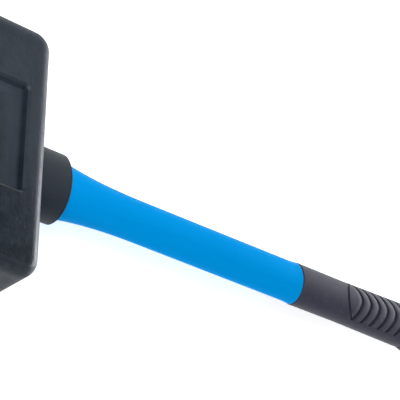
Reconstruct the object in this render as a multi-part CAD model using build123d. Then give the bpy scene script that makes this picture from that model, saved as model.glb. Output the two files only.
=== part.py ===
"""Dead blow mallet: a rectangular rubber head moulded over a steel canister of loose shot,
on a jacketed fibreglass handle with a ribbed rubber grip.

While it is modelled, X runs along the handle from the head's centre towards the butt, Y is the
striking axis and Z is the thin way through the head; the handle's centre line is the X axis.
The finished pieces are moved so that the origin is the middle of the overall length, on the
surface that the mallet lies on. All sizes are in millimetres.
"""
import os
from math import cos, floor, hypot, pi, sin, sqrt

from build123d import *

SAME_PLACE = 0.001         # two places nearer than this are one place

# Head block
HEAD_LENGTH = 162.0        # striking face to striking face
HEAD_WIDTH = 94.0          # along the handle
HEAD_THICKNESS = 68.0      # between the two broad faces
HEAD_CORNER_R = 12.0       # the four corners of a broad face
HEAD_EDGE_R = 7.7          # the round along a broad face's edge

# Recessed panel in each broad face
PANEL_MARGIN = 15.6        # from the panel to the head's handle side and to its far side
PANEL_LENGTH = 70.0        # along the striking axis
PANEL_OFFSET = 3.0         # of the panel's middle from the handle's centre line, towards +Y
PANEL_DEPTH = 3.6
PANEL_CORNER_R = 3.0
PANEL_DRAFT = 28.0         # degrees that the panel's walls lean
PANEL_BEVEL = 1.2          # on the panel's rim

# Canister and its load of shot
PAD_THICKNESS = 22.0       # rubber between a striking face and the canister
CANISTER_DIAMETER = 44.0
CANISTER_WALL = 3.0
PLUG_FLANGE = 4.0          # the part of a plug that closes the tube's end
PLUG_SPIGOT = 6.0          # the part that enters the tube
PLUG_CLEARANCE = 0.05      # radial, between spigot and tube
PLUG_CHAMFER = 1.5
SLUG_ACROSS_FLATS = 11.0   # the shot is short lengths of hexagon bar
SLUG_LENGTH = 15.0
SLUG_GAP = 0.3             # between neighbouring slugs
SHOT_CLEARANCE = 0.3       # between the load and what it lies on or stops against
SHOT_FILL = 0.7            # greatest share of the chamber's length that the load takes

# Fibreglass core and the steel socket that holds it
CORE_DIAMETER = 16.0
CORE_STANDOFF = 1.5        # from the canister to the core's end
BOND_THICKNESS = 0.7       # epoxy between core and socket
SOCKET_WALL = 3.3
SOCKET_REACH = 20.0        # past the head's handle side
WELD_LEG = 4.0
PIN_DIAMETER = 5.0
PIN_WALL = 0.9
PIN_SLOT = 1.2
PIN_FROM_HEAD = 10.0
PIN_CLEARANCE = 0.02       # radial, in its hole
PIN_INSET = 0.4            # from each end to the socket's outside

# Collar, jacket and grip are oval: each width is along the striking axis
OVAL_RATIO = 0.75          # thickness of an oval, as a share of its width
COLLAR_REACH = 30.5        # past the head's handle side
COLLAR_WIDTH = 46.5
COLLAR_BEVEL = 1.4         # on its outer rim
COLLAR_FIT = 0.1           # radial, round the socket and the jacket

JACKET_REACH = 231.6       # from the head's handle side to the jacket's lip
JACKET_ROOT_WIDTH = 38.0   # inside the collar
JACKET_NECK_WIDTH = 28.7   # at its slimmest
JACKET_END_WIDTH = 29.6    # just before the lip
FLARE_LENGTH = 66.0        # from the collar's mouth to the slimmest place
FLARE_POWER = 2.5          # how soon the flare dies away
FLARE_POINTS = 8           # places that its curve passes through
LIP_WIDTH = 30.4
LIP_LENGTH = 7.0
LIP_BEVEL = 0.8            # on the lip's end
TANG_WIDTH = 26.4          # the jacket's stretch inside the grip

GRIP_LENGTH = 135.0        # from the jacket's lip to the butt
GRIP_START_WIDTH = 31.1
GRIP_SWELL_WIDTH = 33.4
BUTT_WIDTH = 37.0
BUTT_LENGTH = 15.0         # from the widest place to the butt's end
BUTT_ROUND = 7.5
GRIP_START_BEVEL = 0.6
HANG_HOLE_DIAMETER = 8.0
HANG_HOLE_FROM_BUTT = 14.0
HANG_HOLE_WEB = 5.0        # rubber between the hole and the core

# Grooves of the grip
BROW_FROM_LIP = 44.2       # the bowed groove that starts the ribbed stretch
BROW_SWEEP = 8.6           # how far its ends lie towards the butt
BROW_WIDTH = 2.3
RING_FROM_BUTT = 24.0      # the ring groove that ends it
RING_GROOVE_WIDTH = 2.0
GROOVE_DEPTH = 1.0
CHEVRON_PITCH = 8.7
CHEVRON_WIDTH = 2.3
CHEVRON_LEAD = 14.4        # from the bowed groove to the first chevron's point
CHEVRON_SWEEP = 6.0        # how far a chevron's ends lie behind its point
CHEVRON_BOW = 0.35         # share of the sweep that an arm has made half-way along
GROOVE_SPREAD = 0.9        # share of the grip's width that a chevron or the bowed groove spans

# Places that follow from the sizes above
HEAD_SIDE_X = HEAD_WIDTH / 2
CANISTER_R = CANISTER_DIAMETER / 2
CANISTER_LENGTH = HEAD_LENGTH - 2 * PAD_THICKNESS
TUBE_LENGTH = CANISTER_LENGTH - 2 * PLUG_FLANGE
BORE_R = CANISTER_R - CANISTER_WALL
CHAMBER_LENGTH = TUBE_LENGTH - 2 * PLUG_SPIGOT
CORE_R = CORE_DIAMETER / 2
CORE_START_X = CANISTER_R + CORE_STANDOFF
SOCKET_BORE_R = CORE_R + BOND_THICKNESS
SOCKET_R = SOCKET_BORE_R + SOCKET_WALL
SOCKET_END_X = HEAD_SIDE_X + SOCKET_REACH
PIN_X = HEAD_SIDE_X + PIN_FROM_HEAD
COLLAR_END_X = HEAD_SIDE_X + COLLAR_REACH
LIP_X = HEAD_SIDE_X + JACKET_REACH
BUTT_X = LIP_X + GRIP_LENGTH
HANG_HOLE_X = BUTT_X - HANG_HOLE_FROM_BUTT
CORE_END_X = HANG_HOLE_X - HANG_HOLE_DIAMETER / 2 - HANG_HOLE_WEB
BROW_X = LIP_X + BROW_FROM_LIP
RING_X = BUTT_X - RING_FROM_BUTT
ORIGIN_SHIFT = Vector(-(BUTT_X - HEAD_SIDE_X) / 2, 0, HEAD_THICKNESS / 2)


def along_x(radius, start, end):
    """A round bar on the handle's centre line, from start to end."""
    return Location((start, 0, 0), (0, 90, 0)) * Cylinder(
        radius, end - start, align=(Align.CENTER, Align.CENTER, Align.MIN))


def along_y(radius, length):
    """A round bar on the striking axis, centred on the head."""
    return Rotation(90, 0, 0) * Cylinder(radius, length)


def turned(outline):
    """Turns a closed half outline about the handle's centre line."""
    return revolve(make_face(outline), axis=Axis.X)


def flattened(body):
    """Makes ovals of a body's round sections. Its outline seen along Z stays as it is."""
    return scale(body, by=(1, 1, OVAL_RATIO))


def canister_envelope():
    """The closed canister's outside, with its two plugs in place."""
    bar = along_y(CANISTER_R, CANISTER_LENGTH)
    return chamfer(bar.edges().filter_by(GeomType.CIRCLE), PLUG_CHAMFER)


def welded_envelope():
    """The canister and the socket as one body, with the weld's flat bead where they meet."""
    canister = canister_envelope()
    joined = canister + along_x(SOCKET_R, 0, SOCKET_END_X)
    saddle = [e for e in joined.edges() if SOCKET_R / 2 < e.center().X < CANISTER_R + WELD_LEG
              and e.geom_type != GeomType.LINE]
    return chamfer(saddle, WELD_LEG)


def pin_hole():
    return Pos(PIN_X, 0, 0) * Cylinder(PIN_DIAMETER / 2 + PIN_CLEARANCE, HEAD_THICKNESS)


def head_block():
    """The rounded block: large rounds at a broad face's corners, smaller ones along its edges."""
    plan = RectangleRounded(HEAD_WIDTH, HEAD_LENGTH, HEAD_CORNER_R)
    block = extrude(plan, amount=HEAD_THICKNESS / 2, both=True)
    broad = block.faces().sort_by(Axis.Z)
    return fillet(broad[0].edges() + broad[-1].edges(), HEAD_EDGE_R)


def panel_recess(side):
    """The drafted recess in the broad face at +Z (side 1) or -Z (side -1)."""
    width = HEAD_WIDTH - 2 * PANEL_MARGIN
    mouth = RectangleRounded(width, PANEL_LENGTH, PANEL_CORNER_R)
    placed = Pos(0, PANEL_OFFSET, side * HEAD_THICKNESS / 2) * mouth
    return extrude(placed, amount=PANEL_DEPTH, dir=(0, 0, -side), taper=PANEL_DRAFT)


def head_casing():
    """Rubber moulded round the canister, open only where the socket leaves it."""
    block = head_block()
    for side in (1, -1):
        block -= panel_recess(side)
    rims = [e for e in block.edges()
            if abs(abs(e.center().Z) - HEAD_THICKNESS / 2) < SAME_PLACE
            and abs(e.center().X) < HEAD_WIDTH / 2 - PANEL_MARGIN + SAME_PLACE
            and abs(e.center().Y - PANEL_OFFSET) < PANEL_LENGTH / 2 + SAME_PLACE]
    return chamfer(rims, PANEL_BEVEL) - welded_envelope()


def shot_canister():
    return along_y(CANISTER_R, TUBE_LENGTH) - along_y(BORE_R, TUBE_LENGTH)


def canister_plug(side):
    """The plug at the striking face at +Y (side 1) or -Y (side -1)."""
    spigot_y = side * (TUBE_LENGTH - PLUG_SPIGOT) / 2
    spigot = Pos(0, spigot_y, 0) * along_y(BORE_R - PLUG_CLEARANCE, PLUG_SPIGOT)
    rims = spigot.edges().filter_by(GeomType.CIRCLE).sort_by(Axis.Y)
    spigot = chamfer(rims[0 if side > 0 else -1], PLUG_CHAMFER)
    flange_slab = Pos(0, side * (TUBE_LENGTH + PLUG_FLANGE) / 2, 0) * Box(
        CANISTER_DIAMETER, PLUG_FLANGE, CANISTER_DIAMETER)
    return (canister_envelope() & flange_slab) + spigot


def slug_places():
    """The centres of one layer's slugs: a honeycomb that lies on the bore's underside."""
    pitch = SLUG_ACROSS_FLATS + SLUG_GAP
    corner_r = SLUG_ACROSS_FLATS / sqrt(3)
    room_r = BORE_R - SHOT_CLEARANCE
    lowest = sqrt(room_r ** 2 - (corner_r / 2) ** 2) - SLUG_ACROSS_FLATS / 2
    rings = floor(lowest / pitch)
    drop = lowest - rings * pitch
    steps = range(-2 * rings, 2 * rings + 1)
    lattice = [(pitch * j * sqrt(3) / 2, pitch * (i + j / 2) - drop) for i in steps for j in steps]
    corners = [(corner_r * cos(pi * k / 3), corner_r * sin(pi * k / 3)) for k in range(6)]
    return [(x, z) for x, z in lattice
            if all(hypot(x + u, z + w) <= room_r + SAME_PLACE for u, w in corners)]


def shot_layers():
    """How many layers of slugs the load has, and the load's length."""
    pitch = SLUG_LENGTH + SLUG_GAP
    layers = floor((SHOT_FILL * CHAMBER_LENGTH + SLUG_GAP) / pitch)
    return layers, layers * pitch - SLUG_GAP


def steel_shot():
    """All the slugs, midway between the plugs."""
    layers, length = shot_layers()
    pitch = SLUG_LENGTH + SLUG_GAP
    first_y = (SLUG_LENGTH - length) / 2
    hexagon = RegularPolygon(SLUG_ACROSS_FLATS / 2, 6, major_radius=False)
    slug = Rotation(90, 0, 0) * extrude(hexagon, amount=SLUG_LENGTH / 2, both=True)
    return Compound(children=[
        Pos(x, first_y + layer * pitch, z) * slug
        for layer in range(layers) for x, z in slug_places()])


def socket_tube():
    tube = along_x(SOCKET_R, 0, SOCKET_END_X) - along_x(SOCKET_BORE_R, 0, SOCKET_END_X)
    return tube - canister_envelope() - pin_hole()


def socket_weld():
    return welded_envelope() - canister_envelope() - along_x(SOCKET_R, 0, SOCKET_END_X)


def core_rod():
    return along_x(CORE_R, CORE_START_X, CORE_END_X) - pin_hole()


def epoxy_bond():
    """Fills the socket round the core and behind its end."""
    fill = along_x(SOCKET_BORE_R, 0, SOCKET_END_X) - canister_envelope()
    return fill - along_x(CORE_R, CORE_START_X, SOCKET_END_X) - pin_hole()


def roll_pin():
    """A slotted spring pin through socket, bond and core."""
    length = 2 * (SOCKET_R - PIN_INSET)
    wall = Cylinder(PIN_DIAMETER / 2, length) - Cylinder(PIN_DIAMETER / 2 - PIN_WALL, length)
    slot = Box(PIN_DIAMETER, PIN_SLOT, length, align=(Align.MIN, Align.CENTER, Align.CENTER))
    return Pos(PIN_X, 0, 0) * (wall - slot)


def neck_collar():
    """The rubber collar over the joint of head and handle, bevelled at its outer rim."""
    radius = COLLAR_WIDTH / 2
    outline = Polyline(
        (HEAD_SIDE_X, 0), (HEAD_SIDE_X, radius), (COLLAR_END_X - COLLAR_BEVEL, radius),
        (COLLAR_END_X, radius - COLLAR_BEVEL), (COLLAR_END_X, 0), close=True)
    root_seat = along_x(JACKET_ROOT_WIDTH / 2 + COLLAR_FIT, SOCKET_END_X, COLLAR_END_X)
    oval = flattened(turned(outline) - root_seat)
    return oval - along_x(SOCKET_R + COLLAR_FIT, HEAD_SIDE_X, SOCKET_END_X)


def flare_points():
    """Half widths where the jacket narrows from the collar's mouth to its slimmest place."""
    drop = (JACKET_ROOT_WIDTH - JACKET_NECK_WIDTH) / 2
    shares = [i / (FLARE_POINTS - 1) for i in range(FLARE_POINTS)]
    return [(COLLAR_END_X + FLARE_LENGTH * s,
             JACKET_NECK_WIDTH / 2 + drop * (1 - s) ** FLARE_POWER) for s in shares]


def handle_jacket():
    """The coloured sleeve moulded on the core, from the socket's end to the core's end."""
    root_r, end_r, lip_r, tang_r = (
        width / 2 for width in (JACKET_ROOT_WIDTH, JACKET_END_WIDTH, LIP_WIDTH, TANG_WIDTH))
    flare = flare_points()
    lip_start = (LIP_X - LIP_LENGTH, end_r)
    lip_top = (LIP_X - LIP_BEVEL, lip_r)
    outline = [
        Line((SOCKET_END_X, 0), (SOCKET_END_X, root_r)),
        Line((SOCKET_END_X, root_r), flare[0]),
        Spline(*flare),
        Line(flare[-1], lip_start),
        Spline(lip_start, lip_top, tangents=[(1, 0), (1, 0)]),
        Line(lip_top, (LIP_X, lip_r - LIP_BEVEL)),
        Line((LIP_X, lip_r - LIP_BEVEL), (LIP_X, tang_r)),
        Line((LIP_X, tang_r), (CORE_END_X, tang_r)),
        Line((CORE_END_X, tang_r), (CORE_END_X, 0)),
        Line((CORE_END_X, 0), (SOCKET_END_X, 0)),
    ]
    return flattened(turned(outline)) - along_x(CORE_R, SOCKET_END_X, CORE_END_X)


def grip_outline(inset):
    """The grip's closed half outline, drawn smaller by inset."""
    start_r, swell_r, butt_r = (
        width / 2 - inset for width in (GRIP_START_WIDTH, GRIP_SWELL_WIDTH, BUTT_WIDTH))
    widest_x = BUTT_X - BUTT_LENGTH
    flat_r = butt_r - BUTT_ROUND
    side_start = (LIP_X + GRIP_START_BEVEL, start_r)
    return [
        Line((LIP_X, 0), (LIP_X, start_r - GRIP_START_BEVEL)),
        Line((LIP_X, start_r - GRIP_START_BEVEL), side_start),
        Line(side_start, (BROW_X, start_r)),
        Line((BROW_X, start_r), (RING_X, swell_r)),
        Spline((RING_X, swell_r), (widest_x, butt_r), tangents=[(1, 0), (1, 0)]),
        EllipticalCenterArc((widest_x, flat_r), BUTT_LENGTH, BUTT_ROUND, 0, arc_size=90),
        Line((BUTT_X, flat_r), (BUTT_X, 0)),
        Line((BUTT_X, 0), (LIP_X, 0)),
    ]


def bowed_bar(middle_x, end_x, shoulder_x, width):
    """A bar through the grip whose two arms run from its middle, by a shoulder, to its ends."""
    half_span = GROOVE_SPREAD * GRIP_START_WIDTH / 2
    edges = []
    for offset in (-width / 2, width / 2):
        for side in (1, -1):
            edges.append(ThreePointArc(
                (middle_x + offset, 0), (shoulder_x + offset, side * half_span / 2),
                (end_x + offset, side * half_span)))
    for side in (1, -1):
        edges.append(Line((end_x - width / 2, side * half_span), (end_x + width / 2, side * half_span)))
    return extrude(make_face(edges), amount=HEAD_THICKNESS / 2, both=True)


def chevron_bar(point_x):
    """A bowed arrowhead that points at the butt."""
    return bowed_bar(
        point_x, point_x - CHEVRON_SWEEP, point_x - CHEVRON_BOW * CHEVRON_SWEEP, CHEVRON_WIDTH)


def brow_bar():
    """The round-fronted groove that starts the ribbed stretch."""
    half_span = GROOVE_SPREAD * GRIP_START_WIDTH / 2
    bow_r = (half_span ** 2 + BROW_SWEEP ** 2) / (2 * BROW_SWEEP)
    shoulder_x = BROW_X + bow_r - sqrt(bow_r ** 2 - (half_span / 2) ** 2)
    return bowed_bar(BROW_X, BROW_X + BROW_SWEEP, shoulder_x, BROW_WIDTH)


def groove_bars():
    """Every groove of the grip as a bar that reaches right through it."""
    room = RING_X - BROW_X - CHEVRON_LEAD - CHEVRON_PITCH / 2
    chevrons = floor(room / CHEVRON_PITCH) + 1
    bars = [chevron_bar(BROW_X + CHEVRON_LEAD + i * CHEVRON_PITCH) for i in range(chevrons)]
    ring = Pos(RING_X, 0, 0) * Box(RING_GROOVE_WIDTH, HEAD_LENGTH, HEAD_THICKNESS)
    return bars + [brow_bar(), ring]


def grip_sleeve():
    """The rubber grip: a bar cuts only what lies between the grip's skin and its groove floor."""
    grip = turned(grip_outline(0))
    groove_floor = turned(grip_outline(GROOVE_DEPTH))
    for bar in groove_bars():
        grip -= bar - groove_floor
    grip -= along_x(TANG_WIDTH / 2, LIP_X, CORE_END_X)
    return flattened(grip) - Pos(HANG_HOLE_X, 0, 0) * Cylinder(HANG_HOLE_DIAMETER / 2, HEAD_THICKNESS)


PIECES = {
    "head_casing": head_casing,
    "shot_canister": shot_canister,
    "canister_plug_a": lambda: canister_plug(1),
    "canister_plug_b": lambda: canister_plug(-1),
    "steel_shot": steel_shot,
    "socket_tube": socket_tube,
    "socket_weld": socket_weld,
    "epoxy_bond": epoxy_bond,
    "roll_pin": roll_pin,
    "core_rod": core_rod,
    "neck_collar": neck_collar,
    "handle_jacket": handle_jacket,
    "grip_sleeve": grip_sleeve,
}

os.makedirs("parts", exist_ok=True)
for name, make in PIECES.items():
    export_step(Pos(ORIGIN_SHIFT) * make(), f"parts/{name}.step")

layer_count, load_length = shot_layers()
print("shot layers", layer_count, "travel each way",
      (CHAMBER_LENGTH - load_length) / 2 - SHOT_CLEARANCE)
print("overall length", BUTT_X + HEAD_SIDE_X, "origin shift", ORIGIN_SHIFT)
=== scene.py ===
"""Dresses the dead blow mallet: its rubbers, blue jacket, steels and fibreglass, with a pale
floor, soft studio light and a camera that looks down on the head from its far side."""
from math import radians

import bpy
from mathutils import Matrix, Vector


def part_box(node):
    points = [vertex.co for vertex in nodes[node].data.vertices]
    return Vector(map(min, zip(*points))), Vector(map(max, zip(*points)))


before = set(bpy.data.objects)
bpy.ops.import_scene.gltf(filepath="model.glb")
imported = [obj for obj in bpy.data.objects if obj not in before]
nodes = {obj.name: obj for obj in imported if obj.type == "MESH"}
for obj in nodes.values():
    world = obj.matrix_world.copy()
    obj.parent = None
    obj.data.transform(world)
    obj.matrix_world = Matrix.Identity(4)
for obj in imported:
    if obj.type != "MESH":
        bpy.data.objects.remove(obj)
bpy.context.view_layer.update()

head_low, head_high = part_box("head_casing")
collar_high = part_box("neck_collar")[1]
grip_low, grip_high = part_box("grip_sleeve")
grip_axis = (grip_low + grip_high) / 2
scene = bpy.context.scene
MM = 0.001
OVAL_RATIO = 0.75
RIBS_START = grip_low.x + 44.2 * MM    # the grip's bowed groove
RIBS_END = grip_high.x - 24 * MM       # its ring groove
RIBS_START_HALF = 15.55 * MM           # half the grip's width at each of them
RIBS_END_HALF = 16.7 * MM
CHEVRON_START = RIBS_START + 14.4 * MM
CHEVRON_PITCH = 8.7 * MM
CHEVRON_SWEEP = 6 * MM
CHEVRON_HALF_SPAN = 14 * MM
CHEVRONS = 6
PANEL_WALL_X = (17.2 * MM, 20.5 * MM)   # across the panel's wall, in from the head's side
PANEL_WALL_Y = (40 * MM, 43 * MM)       # in from its striking face
PANEL_WALL_Z = (0.6 * MM, 2.0 * MM)     # down from its broad face
WORLD_GLOW = 0.12
PAPER_GLOW = 0.64


class Value:
    """A node's output, so that shader maths reads as plain Python."""

    def __init__(self, finish, socket):
        self.finish = finish
        self.socket = socket

    def maths(self, operation, *terms):
        return self.finish.node("Math", {"operation": operation}, dict(enumerate(terms)))

    def __add__(self, other):
        return self.maths("ADD", self, other)

    def __radd__(self, other):
        return self.maths("ADD", other, self)

    def __sub__(self, other):
        return self.maths("SUBTRACT", self, other)

    def __rsub__(self, other):
        return self.maths("SUBTRACT", other, self)

    def __mul__(self, other):
        return self.maths("MULTIPLY", self, other)

    def __rmul__(self, other):
        return self.maths("MULTIPLY", other, self)

    def __truediv__(self, other):
        return self.maths("DIVIDE", self, other)

    def __rtruediv__(self, other):
        return self.maths("DIVIDE", other, self)

    def __pow__(self, other):
        return self.maths("POWER", self, other)

    def __abs__(self):
        return self.maths("ABSOLUTE", self)

    def least(self, other):
        return self.maths("MINIMUM", self, other)

    def most(self, other):
        return self.maths("MAXIMUM", self, other)

    def fraction(self):
        return self.maths("FRACT", self)

    def ramp(self, start, end):
        """0 below start and 1 past end, with a soft step between; start may be the larger."""
        low, high = min(start, end), max(start, end)
        step = self.finish.node(
            "MapRange", {"interpolation_type": "SMOOTHSTEP"}, {"Value": self, 1: low, 2: high})
        return step if start < end else 1 - step


class Finish:
    """One material: its nodes, and the Principled shader that they feed."""

    def __init__(self, name, **fixed):
        self.material = bpy.data.materials.new(name)
        self.material.use_nodes = True
        self.tree = self.material.node_tree
        self.shader = self.tree.nodes["Principled BSDF"]
        self.place = self.node("TexCoord", output="Object")
        self.x, self.y, self.z = (
            self.node("SeparateXYZ", None, {0: self.place}, output=axis) for axis in "XYZ")
        self.set_sockets(fixed)

    def set_sockets(self, values):
        """Feeds the shader's sockets, whose names have underscores here for spaces."""
        for name, value in values.items():
            self.feed(self.shader.inputs[name.replace("_", " ")], value)

    def feed(self, socket, value):
        """Links a Value to the socket, or sets a plain number or colour on it."""
        if isinstance(value, Value):
            self.tree.links.new(value.socket, socket)
        else:
            socket.default_value = value

    def node(self, kind, settings=None, sockets=None, output=0):
        """Adds a node: its settings first, then the values or links of its sockets."""
        made = self.tree.nodes.new("ShaderNode" + kind)
        for name, value in (settings or {}).items():
            setattr(made, name, value)
        for name, value in (sockets or {}).items():
            self.feed(made.inputs[name], value)
        return Value(self, made.outputs[output])

    def stretched(self, along, across, up):
        """The place with each axis divided by a feature's size in millimetres."""
        return self.node("VectorMath", {"operation": "MULTIPLY"}, {
            0: self.place, 1: tuple(1 / (size * MM) for size in (along, across, up))})

    def noise(self, size, detail=3.0, rough=0.55, seed=0.0):
        """Cloudy noise whose features are about size millimetres, or (x, y, z) sizes."""
        sizes = size if isinstance(size, tuple) else (size,) * 3
        return self.node("TexNoise", {"noise_dimensions": "4D"}, {
            "Vector": self.stretched(*sizes), "W": seed, "Scale": 1.0,
            "Detail": detail, "Roughness": rough})

    def cells(self, size):
        """Distance to the nearest of scattered points that lie about size millimetres apart."""
        return self.node("TexVoronoi", {"voronoi_dimensions": "4D"}, {
            "Vector": self.stretched(size, size, size), "W": 0.0, "Scale": 1.0}, output="Distance")

    def mix(self, first, second, share):
        """A colour between two colours."""
        return self.node("Mix", {"data_type": "RGBA"}, {0: share, 6: first, 7: second}, output=2)

    def relief(self, height, depth_mm):
        """Feeds the shader's normal with a bump of that depth in millimetres."""
        bump = self.node("Bump", None, {
            "Strength": 1.0, "Distance": depth_mm * MM, "Height": height}, output="Normal")
        self.feed(self.shader.inputs["Normal"], bump)

    def finish(self, colour, roughness, **others):
        """Feeds the colour, the roughness and any other sockets, and gives the material."""
        self.set_sockets({"Base_Color": colour, "Roughness": roughness, **others})
        return self.material


def shade(red, green, blue):
    """An opaque colour from sRGB values of 0 to 255."""
    def linear(level):
        level /= 255
        return level / 12.92 if level <= 0.04045 else ((level + 0.055) / 1.055) ** 2.4
    return (linear(red), linear(green), linear(blue), 1.0)


def head_rubber():
    """Dense black moulded rubber with a spark-eroded grain and scuffed edges. Painted light makes
    it paler and duller along one diagonal of the broad face, towards +Y and the handle. Painted
    light also lightens the panel floor by its walls, the striking faces, their rounded edges and
    the edges away from the -Y end."""
    look = Finish(
        "head_rubber_black", Specular_IOR_Level=0.6, Specular_Tint=(0.86, 0.93, 1.0, 1.0))
    grain = look.noise(0.7, detail=4, rough=0.6)
    cloud = look.noise(16, detail=4, seed=2.0)
    bloom = look.noise((26, 40, 26), detail=3, seed=5.0).ramp(0.45, 0.75)
    scratch = look.noise((0.6, 14, 2), detail=2, seed=8.0).ramp(0.66, 0.76)
    half = (head_high - head_low) / 2
    middle = (head_high + head_low) / 2
    off_x = half.x - abs(look.x - middle.x)
    off_y = half.y - abs(look.y - middle.y)
    off_z = half.z - abs(look.z - middle.z)
    near = (off_x.most(off_y)).least(off_y.most(off_z)).least(off_x.most(off_z))
    edge = near.ramp(6.0 * MM, 1.2 * MM) * look.noise(5, detail=5, seed=11.0).ramp(0.38, 0.7)
    pitted = look.noise(6, detail=6, rough=0.7, seed=3.0).ramp(0.45, 0.72)
    struck = off_y.ramp(5 * MM, 0.5 * MM) * pitted
    along_y = look.y - middle.y
    # painted highlight: a lighter band along the edges, fading out towards the -Y end and off the
    # striking faces
    painted_edge_highlight = (near.ramp(13 * MM, 3 * MM) * off_y.ramp(0.5 * MM, 3 * MM)
              * along_y.ramp(-76 * MM, -56 * MM))
    # painted light: the striking faces and the rounded edges beside them made paler
    painted_light_struck_face = off_y.ramp(4 * MM, 1 * MM)
    painted_light_struck_edge = off_y.ramp(8 * MM, 5 * MM) * off_y.ramp(1 * MM, 3 * MM)
    # real wear on the edges, the striking faces and scratches, mixed with the painted highlight
    # and painted light above
    wear_and_painted_light = (edge * 0.6 + struck * 0.4 + scratch * 0.1 + painted_edge_highlight * 0.5
            + painted_light_struck_face * 0.06 + painted_light_struck_edge * 0.25).least(1.0)
    hollow = off_z.ramp(*PANEL_WALL_Z) * off_x.ramp(*PANEL_WALL_X) * off_y.ramp(*PANEL_WALL_Y)
    # painted light: the panel floor made paler near its walls, where the walls shade it
    painted_light_by_walls = off_x.ramp(35 * MM, 20 * MM).most(off_y.ramp(54 * MM, 49 * MM)) * hollow
    # painted light: a tone gradient along one diagonal of the broad face, paler and duller towards
    # +Y and the handle
    painted_light_gradient = ((look.x - middle.x) * 0.5 + along_y * 0.85).ramp(-62 * MM, 52 * MM)
    mottle = look.noise((9, 9, 9), detail=5, rough=0.65, seed=14.0).ramp(0.3, 0.7)
    # the base tone mixes random mottle with the painted-light gradient
    rubber = look.mix(shade(2, 17, 26), shade(27, 40, 53), mottle * 0.4 + painted_light_gradient * 0.6)
    # the rubber's bloom shows only where the painted-light gradient is high, so this mix is bloom
    # and painted light
    bloom_and_painted_light = look.mix(rubber, shade(44, 54, 66), bloom * painted_light_gradient * 0.5)
    # mixes in the panel floor's painted light
    dust_and_painted_light = look.mix(bloom_and_painted_light, shade(66, 75, 88), painted_light_by_walls * 0.5)
    # wear and painted light make the rubber paler here
    colour = look.mix(dust_and_painted_light, shade(80, 85, 96), wear_and_painted_light * 0.5)
    look.relief(grain * 0.55 + cloud * 0.35 + mottle * 0.4 - scratch * 0.15 + edge * 0.3, 0.25)
    rough = (0.26 + painted_light_gradient * 0.24 + hollow * 0.03 + mottle * 0.1
             + painted_light_struck_face * 0.32 + painted_light_struck_edge * 0.1)
    return look.finish(colour, rough)


def collar_rubber():
    """The collar's softer rubber, even on its side, with painted shade on its cut end where it
    meets the jacket.
    """
    look = Finish(
        "collar_rubber_black", Specular_IOR_Level=0.3, Specular_Tint=(0.9, 0.94, 1.0, 1.0))
    grain = look.noise(0.6, detail=4, rough=0.6, seed=1.0)
    cloud = look.noise((18, 8, 8), detail=4, seed=4.0)
    end = look.x.ramp(collar_high.x - 2.4 * MM, collar_high.x - 1.2 * MM)
    rubber = look.mix(shade(34, 44, 52), shade(42, 52, 61), cloud * (1 - end))
    # painted shade: the cut end made nearly black where the collar meets the jacket
    colour = look.mix(rubber, shade(2, 4, 8), end * 0.85)
    look.relief(grain * 0.5 + cloud * 0.5, 0.16)
    return look.finish(colour, 0.5 + cloud * 0.14 + end * 0.2)


def jacket_plastic():
    """Bright blue moulded plastic: flow streaks along it, faint orange peel and hairlines."""
    look = Finish(
        "jacket_plastic_blue", Specular_IOR_Level=0.006, Specular_Tint=(0.05, 0.6, 1.0, 1.0))
    peel = look.noise(2.2, detail=2, rough=0.45)
    flow = look.noise((70, 9, 9), detail=4, seed=3.0)
    hairline = look.noise((30, 0.5, 0.5), detail=1, seed=6.0).ramp(0.7, 0.78)
    rub = look.noise((14, 6, 6), detail=5, rough=0.65, seed=9.0).ramp(0.5, 0.8)
    blue = look.mix(shade(0, 146, 228), shade(0, 160, 239), flow)
    colour = look.mix(blue, shade(40, 172, 236), hairline * 0.2 + rub * 0.05)
    look.relief(peel * 0.6 + flow * 0.6 - hairline * 0.5, 0.06)
    return look.finish(colour, 0.32 + flow * 0.08 + rub * 0.1)


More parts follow.
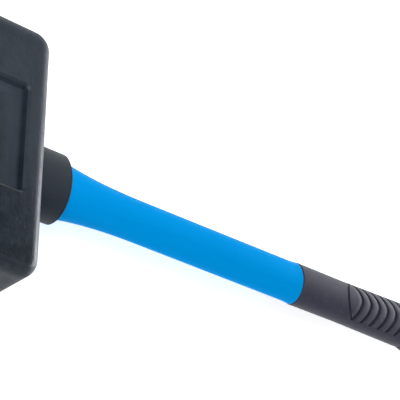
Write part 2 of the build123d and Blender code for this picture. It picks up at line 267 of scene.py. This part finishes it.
def grip_rubber():
    """Soft grip rubber: fine grain, dust on the skin, ribs with rounded shoulders, a painted
    highlight on the rib crests, and painted shade in the grooves and beside them."""
    look = Finish(
        "grip_rubber_black", Specular_IOR_Level=0.16, Sheen_Weight=0.1, Sheen_Roughness=0.5)
    grain = look.noise(0.5, detail=4, rough=0.65)
    cloud = look.noise((20, 7, 7), detail=4, seed=2.0)
    dust = look.noise(3.5, detail=5, rough=0.7, seed=7.0).ramp(0.5, 0.78)
    half_width = (look.y ** 2 + (look.z - grip_axis.z) ** 2 / OVAL_RATIO ** 2) ** 0.5
    along = (look.x - RIBS_START) / (RIBS_END - RIBS_START)
    skin = RIBS_START_HALF + along * (RIBS_END_HALF - RIBS_START_HALF)
    ribbed = along.ramp(-0.02, 0.0) * along.ramp(1.02, 1.0)
    groove = (skin - half_width).ramp(0.05 * MM, 0.6 * MM) * ribbed
    aside = abs(look.y) / CHEVRON_HALF_SPAN
    swept = CHEVRON_SWEEP * (aside * 0.4 + aside * aside * 0.6)
    rib = (look.x - CHEVRON_START + swept) / CHEVRON_PITCH
    from_groove = abs((rib + 0.5).fraction() - 0.5)
    ribbed_part = (rib.ramp(-0.55, -0.45) * rib.ramp(CHEVRONS - 0.45, CHEVRONS - 0.55)
                   * aside.ramp(1.04, 0.9))
    shoulder = from_groove.ramp(0.4, 0.06) * ribbed_part
    rubber = look.mix(shade(48, 50, 64), shade(63, 65, 82), cloud)
    # painted highlight: the rib crests made paler between the shoulders
    painted_crest_highlight = ribbed_part * (1 - shoulder)
    dust_and_painted_light = look.mix(rubber, shade(104, 107, 120), dust * 0.25 + painted_crest_highlight * 0.2)
    # painted shade: darker in the grooves and on the shoulders beside them
    colour = look.mix(dust_and_painted_light, shade(22, 23, 32), (groove * 0.45 + shoulder * 0.2).least(1.0))
    look.relief(grain * 0.6 + cloud * 0.4 - shoulder * 2.8, 0.14)
    return look.finish(colour, 0.52 + cloud * 0.1 + dust * 0.1 + groove * 0.2)


def steel(name, tint, lay, rough):
    """Bare steel with tool or drawing marks; lay gives their (x, y, z) sizes in millimetres."""
    look = Finish(name)
    marks = look.noise(lay, detail=4, rough=0.6)
    stain = look.noise(9, detail=4, seed=3.0)
    dark = tuple(part * 0.72 for part in tint[:3]) + (1.0,)
    colour = look.mix(dark, tint, marks * 0.6 + stain * 0.4)
    look.relief(marks, 0.04)
    return look.finish(colour, rough + marks * 0.12 + stain * 0.08, Metallic=1.0)


def weld_metal():
    """As-welded steel: stacked ripples, oxide and a few bright spots."""
    look = Finish("weld_metal_rippled")
    ripple = look.noise((1.2, 3, 3), detail=3)
    oxide = look.noise(3, detail=5, rough=0.7, seed=4.0).ramp(0.4, 0.65)
    colour = look.mix(shade(128, 122, 116), shade(58, 52, 50), oxide)
    look.relief(ripple, 0.3)
    return look.finish(colour, 0.4 + oxide * 0.3, Metallic=1 - oxide * 0.5)


def fibreglass():
    """Pultruded rod: straw resin with glass rovings along it."""
    look = Finish("fibreglass_straw", Coat_Roughness=0.2)
    roving = look.noise((60, 0.5, 0.5), detail=3)
    resin = look.noise(12, detail=3, seed=2.0)
    colour = look.mix(shade(176, 160, 112), shade(222, 212, 176), roving * 0.7 + resin * 0.3)
    look.relief(roving, 0.08)
    return look.finish(colour, 0.35 + roving * 0.15, Coat_Weight=0.3)


def epoxy():
    """Poured amber epoxy with small bubbles."""
    look = Finish("epoxy_amber", Coat_Roughness=0.1)
    bubble = look.cells(1.6).ramp(0.22, 0.12)
    depth = look.noise(7, detail=2)
    colour = look.mix(shade(126, 74, 18), shade(196, 130, 48), depth)
    look.relief(depth - bubble * 0.6, 0.1)
    return look.finish(colour, 0.18 + bubble * 0.2, Coat_Weight=0.4)


TURNED = (0.5, 0.5, 12)
ROLLED = (0.4, 0.4, 8)
CUT = (1.5, 0.5, 1.5)
DRAWN_LENGTHWISE = (40, 0.4, 0.4)
DRAWN_ACROSS = (0.4, 40, 0.4)
FINISHES = {
    "head_casing": head_rubber(),
    "neck_collar": collar_rubber(),
    "handle_jacket": jacket_plastic(),
    "grip_sleeve": grip_rubber(),
    "core_rod": fibreglass(),
    "epoxy_bond": epoxy(),
    "socket_weld": weld_metal(),
    "socket_tube": steel("socket_steel_drawn", shade(176, 176, 179), DRAWN_LENGTHWISE, 0.32),
    "roll_pin": steel("pin_steel_blackened", shade(92, 92, 96), ROLLED, 0.38),
    "shot_canister": steel("canister_steel_drawn", shade(172, 172, 176), DRAWN_ACROSS, 0.34),
    "canister_plug_a": steel("plug_steel_turned_a", shade(178, 178, 182), TURNED, 0.3),
    "canister_plug_b": steel("plug_steel_turned_b", shade(178, 178, 182), TURNED, 0.3),
    "steel_shot": steel("shot_steel_bright", shade(196, 196, 198), CUT, 0.24),
}
for node_name, material in FINISHES.items():
    for material_slot in nodes[node_name].material_slots:
        material_slot.material = material


def aimed(place, target, roll=0.0):
    """A matrix at place that looks at target with Z up, rolled about its line of sight."""
    turn = (Vector(target) - Vector(place)).to_track_quat("-Z", "Y").to_matrix().to_4x4()
    return Matrix.Translation(place) @ turn @ Matrix.Rotation(roll, 4, "Z")


def softbox(name, place, target, size, power):
    """A rectangular area light at place that faces target."""
    lamp = bpy.data.lights.new(name, "AREA")
    lamp.shape = "RECTANGLE"
    lamp.size, lamp.size_y = size
    lamp.energy = power
    holder = bpy.data.objects.new(name, lamp)
    holder.matrix_world = aimed(place, target)
    scene.collection.objects.link(holder)


CAMERA_PLACE = (-0.5426, -0.4163, 0.6523)
CAMERA_TARGET = (0.0106, 0.0348, 0.034)
CAMERA_ROLL = radians(61.61)
CAMERA_LENS = 128.1
CAMERA_SENSOR = 36
camera = bpy.data.cameras.new("studio_camera")
camera.sensor_width = CAMERA_SENSOR
camera.lens = CAMERA_LENS
camera_holder = bpy.data.objects.new("studio_camera", camera)
camera_holder.matrix_world = aimed(CAMERA_PLACE, CAMERA_TARGET, CAMERA_ROLL)
scene.collection.objects.link(camera_holder)
scene.camera = camera_holder

CARD_SIZE = (1.3, 0.8)
CARD_TARGET = (0, 0, 0.03)
softbox("overhead", place=(-0.9, -0.2, 1.9), target=(0, 0, 0), size=(1.6, 1.8), power=36)
softbox("butt_side_card", place=(1.72, 0.6, 0.42), target=CARD_TARGET, size=CARD_SIZE, power=29)
softbox("far_side_card", place=(0.6, 1.7, 0.42), target=CARD_TARGET, size=CARD_SIZE, power=5)

sky = bpy.data.worlds.new("studio_white")
sky.use_nodes = True
background = sky.node_tree.nodes["Background"]
background.inputs["Color"].default_value = (1.0, 1.0, 1.0, 1.0)
background.inputs["Strength"].default_value = WORLD_GLOW
scene.world = sky
scene.view_settings.view_transform = "Standard"

FLOOR_HALF = 4.0
floor_mesh = bpy.data.meshes.new("studio_floor")
floor_mesh.from_pydata(
    [(-FLOOR_HALF, -FLOOR_HALF, 0), (FLOOR_HALF, -FLOOR_HALF, 0),
     (FLOOR_HALF, FLOOR_HALF, 0), (-FLOOR_HALF, FLOOR_HALF, 0)], [], [(0, 1, 2, 3)])
floor = bpy.data.objects.new("studio_floor", floor_mesh)
scene.collection.objects.link(floor)
paper = Finish("studio_paper", Roughness=0.9, Base_Color=shade(244, 244, 245),
               Emission_Color=(1.0, 1.0, 1.0, 1.0), Emission_Strength=PAPER_GLOW)
floor_mesh.materials.append(paper.material)
